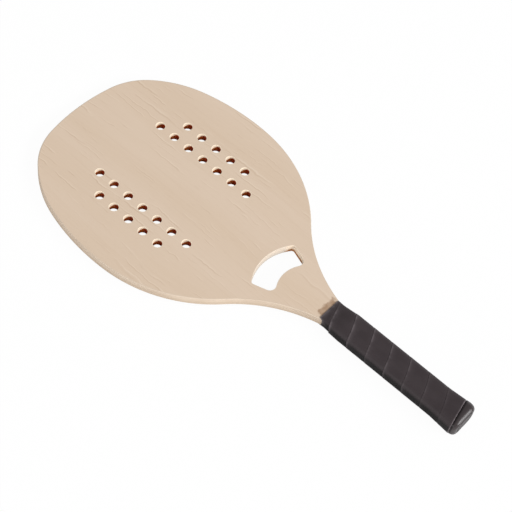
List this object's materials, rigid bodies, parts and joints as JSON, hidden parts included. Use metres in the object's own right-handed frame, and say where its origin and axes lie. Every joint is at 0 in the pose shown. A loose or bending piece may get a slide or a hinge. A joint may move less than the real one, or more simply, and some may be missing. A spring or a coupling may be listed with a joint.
{
  "type": "beach tennis racket",
  "caption": "Solid wooden beach racket: rounded drilled head, arched throat slot, short straight handle with a wound grip tape and a rounded butt cap.",
  "frame": {"origin": "middle of the butt's flat end, level with the middle of the board", "axes": "+X from the butt to the tip of the head, +Y across the board, +Z out of the upper face"},
  "size_m": [0.4499, 0.209, 0.0212],
  "materials": {
    "face_wood": "satin varnish",
    "cross_wood": "sanded",
    "cheek_wood": "sanded",
    "tape_leather": "satin",
    "cap_plastic": "satin",
    "plate_plastic": "satin",
    "staple_steel": "drawn wire"
  },
  "bodies": {
    "root": {"face_ply_top": "face_wood", "cross_ply_upper": "cross_wood", "core_ply": "cross_wood", "cross_ply_lower": "cross_wood", "face_ply_bottom": "face_wood", "handle_cheek_top": "cheek_wood", "handle_cheek_bottom": "cheek_wood", "grip_tape": "tape_leather", "butt_cap": "cap_plastic", "end_plate": "plate_plastic", "cap_staple_1": "staple_steel", "cap_staple_2": "staple_steel", "cap_staple_3": "staple_steel", "cap_staple_4": "staple_steel"}
  },
  "joints": []
}
